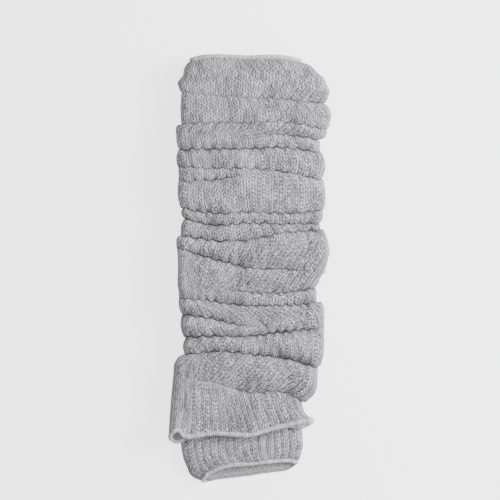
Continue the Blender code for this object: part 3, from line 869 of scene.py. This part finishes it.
def makeTube(tube, ribs, material):
    wall, step = cloth["wall"], cloth["liningStep"]
    last = len(linesOf(tube)) - 2
    outer = ringRows(tube, tube["rowStep"])
    hills = unevenness(outer[..., 0], outer[..., 1], cloth["hillSize"], tube["seed"])
    outer[..., 2] += hills * cloth["hillHigh"] * onTop(tube, outer)
    dent(tube, outer)
    topRim = ringPoints(tube, 0, 0.0, wall)[None]
    hemRim = ringPoints(tube, last, 1.0, wall)[None]
    skin = np.concatenate([topRim, outer, hemRim])
    lining = ringRows(tube, cloth["liningRow"], wall, step)[1:-1]
    count, rows = skin.shape[1], skin.shape[0]
    first = rows * count
    faces = quads(0, rows, count, outward=False) + quads(first, len(lining), count // 3, outward=True)
    faces += thinning(0, first, count, flipped=False)
    faces += thinning(first - count, first + (len(lining) - 1) * count // 3, count, flipped=True)
    points = np.concatenate([skin.reshape(-1, 3), lining.reshape(-1, 3)])
    mesh = bpy.data.meshes.new(tube["name"])
    mesh.from_pydata(toFrame(points).tolist(), [], faces)

    # the cloth's own map: ribs across, rows of knitting along
    ribsAcross, thinRibs = ribNumbers(tube), ribNumbers(tube, step)
    rib = np.concatenate([np.tile(ribsAcross[:-1], rows), np.tile(thinRibs[:-1], len(lining))])
    along = np.concatenate([stitchRows(part, cloth["stitchHigh"]).ravel() for part in (skin, lining)])
    loops = np.empty(len(mesh.loops), np.int32)
    mesh.loops.foreach_get("vertex_index", loops)
    uv = np.column_stack([rib[loops], along[loops]])
    sizes = np.empty(len(mesh.polygons), np.int32)
    mesh.polygons.foreach_get("loop_total", sizes)
    ofFace = np.repeat(np.arange(len(sizes)), sizes)
    biggest = np.zeros(len(sizes))
    np.maximum.at(biggest, ofFace, uv[:, 0])
    closing = (biggest[ofFace] - uv[:, 0]) > ribsAcross[-1] / 2
    uv[closing, 0] += ribsAcross[-1]
    mesh.uv_layers.new(name="knit").data.foreach_set("uv", uv.astype(np.float32).ravel())
    strength = np.interp(points[:, 1], tube["ribUps"], tube["ribStrengths"])
    strength *= np.clip((points[:, 2] - tube["base"]) / cloth["ribRise"], 0, 1)
    strength[first:] = 0
    # how far the cloth runs aslant, which the knit material turns into painted shade on the lines between
    # the wales
    run = np.gradient(skin, axis=0)
    lean = np.zeros(len(points))
    lean[:first] = (np.abs(run[..., 0]) / (np.linalg.norm(run, axis=2) + 1e-6)).ravel()
    addFloats(mesh, "lean", np.clip(cloth["leanGain"] * lean, 0, 1))
    # marks the lining, which the knit material paints lighter as painted light
    inside = np.zeros(len(points))
    inside[first:] = 1
    addFloats(mesh, "inside", inside)
    addFloats(mesh, "rib", rib)
    addFloats(mesh, "ribStrength", strength)
    piece = newPiece(tube["name"], mesh)
    bake(piece, ribs, {"Groove Depth": cloth["ribDeep"] * mm, "Groove Width": cloth["grooveWide"],
                       "Unevenness": cloth["ribUneven"], "Hill Size": cloth["ribHills"],
                       "Material": material})
    piece.data.shade_smooth()
    return piece


def makeEdging(tube, atTop, tree, material):
    name = tube["name"].replace("Knit", "TopEdge" if atTop else "HemEdge")
    number, share = (0, 0.0) if atTop else (len(linesOf(tube)) - 2, 1.0)
    outer = ringPoints(tube, number, share, edging["skin"])
    rim = ringPoints(tube, number, share, cloth["wall"] / 2)
    along = np.roll(rim, -1, axis=0) - np.roll(rim, 1, axis=0)
    away = np.cross(outer - rim, along) if atTop else np.cross(along, outer - rim)
    away /= np.linalg.norm(away, axis=1, keepdims=True)
    radius = edging["radius"]
    thick = np.ones(len(rim)) if atTop else np.interp(rim[:, 0], tube["edgeAcross"], tube["edgeThick"])
    above = np.clip((rim[:, 2] - tube["base"]) / edging["topRise"] - 1, 0, 1)
    pale = above + (1 - above) * tube["paleUnder"]
    thick *= edging["thinUnder"] + (1 - edging["thinUnder"]) * pale
    path = rim + away * (radius * thick[:, None] * edging["sitsOut"])
    path[:, 2] = np.maximum(path[:, 2], tube["base"] + radius * thick)
    mesh = bpy.data.meshes.new(name)
    ends = np.arange(len(path))
    mesh.from_pydata(toFrame(path).tolist(), np.column_stack([ends, np.roll(ends, -1)]).tolist(), [])
    addFloats(mesh, "thick", thick)
    addFloats(mesh, "pale", pale)
    piece = newPiece(name, mesh)
    bake(piece, tree, {"Radius": radius * mm, "Step": edging["step"] * mm,
                       "Unevenness": edging["uneven"], "Material": material})
    return piece


ribs, rolled = ribTree(), edgingTree()
stitches, heather = stitchGroup(), heatherGroup()
knitGrey = knitMaterial("heatherGreyKnit", stitches, heather)
paleEdge = edgingMaterial(heather)
print("materials and node trees made")

# each tube and its two edgings take the place of its solid parts, and their face counts are printed
for tube in (lowerLegWarmer, upperLegWarmer):
    knit = makeTube(tube, ribs, knitGrey)
    edges = [makeEdging(tube, atTop, rolled, paleEdge) for atTop in (True, False)]
    edgeNodes = [tube["node"].replace("leg_warmer", end) for end in ("top_edge", "hem_edge")]
    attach(knit, "root")
    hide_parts(tube["node"])
    for edge, node in zip(edges, edgeNodes):
        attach(edge, "root")
        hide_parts(node)
    print(f"{knit.name}: {len(knit.data.polygons)} faces, edges {[len(e.data.polygons) for e in edges]}")


studio = {
    "floorSize": 6.0,
    "roughness": 0.8,  # of the floor
    "sheen": 0.0,
    "floorColour": (0.93, 0.93, 0.93, 1.0),
    "floorGlow": 2.4,  # seen by the camera alone, so that the floor reads nearly white
    "skyColour": (1.0, 1.0, 1.0, 1.0),
    "skyStrength": 0.71,
    "lampPlace": (1.2, 0.35, 0.75),
    "lampSize": 0.8,
    "lampPower": 45.5,
    "lens": 300.0,
    "viewMiddle": (1.6, 15.7),  # mm, what the middle of the picture shows
    "height": 3.561,
}

floorMesh = bpy.data.meshes.new("studioFloor")
reach = studio["floorSize"] / 2
floorCorners = [(-reach, -reach, 0), (reach, -reach, 0), (reach, reach, 0), (-reach, reach, 0)]
floorMesh.from_pydata(floorCorners, [], [(0, 1, 2, 3)])
floor = newPiece("studioFloor", floorMesh)
floorPaint, floorTree, floorShader = newMaterial("paleFloor", studio)
floorShader.inputs["Base Color"].default_value = studio["floorColour"]
floorShader.inputs["Emission Color"].default_value = (1.0, 1.0, 1.0, 1.0)
seen = addNode(floorTree, "ShaderNodeLightPath").outputs["Is Camera Ray"]
glow = addMath(floorTree, "MULTIPLY", seen, studio["floorGlow"])
floorTree.links.new(glow, floorShader.inputs["Emission Strength"])
floorMesh.materials.append(floorPaint)

world = bpy.data.worlds.new("studioSky")
bpy.context.scene.world = world
world.use_nodes = True
world.node_tree.nodes["Background"].inputs[0].default_value = studio["skyColour"]
world.node_tree.nodes["Background"].inputs[1].default_value = studio["skyStrength"]

lamp = bpy.data.lights.new("softbox", "AREA")
lamp.energy = studio["lampPower"]
lamp.size = studio["lampSize"]
softbox = bpy.data.objects.new("softbox", lamp)
softbox.location = studio["lampPlace"]
softbox.rotation_euler = (-Vector(studio["lampPlace"])).to_track_quat("-Z", "Y").to_euler()
bpy.context.scene.collection.objects.link(softbox)

camera = bpy.data.cameras.new("camera")
camera.lens = studio["lens"]
cameraStand = bpy.data.objects.new("camera", camera)
cameraStand.location = (studio["viewMiddle"][0] * mm, studio["viewMiddle"][1] * mm, studio["height"])
bpy.context.scene.collection.objects.link(cameraStand)
bpy.context.scene.camera = cameraStand
print("stage ready")
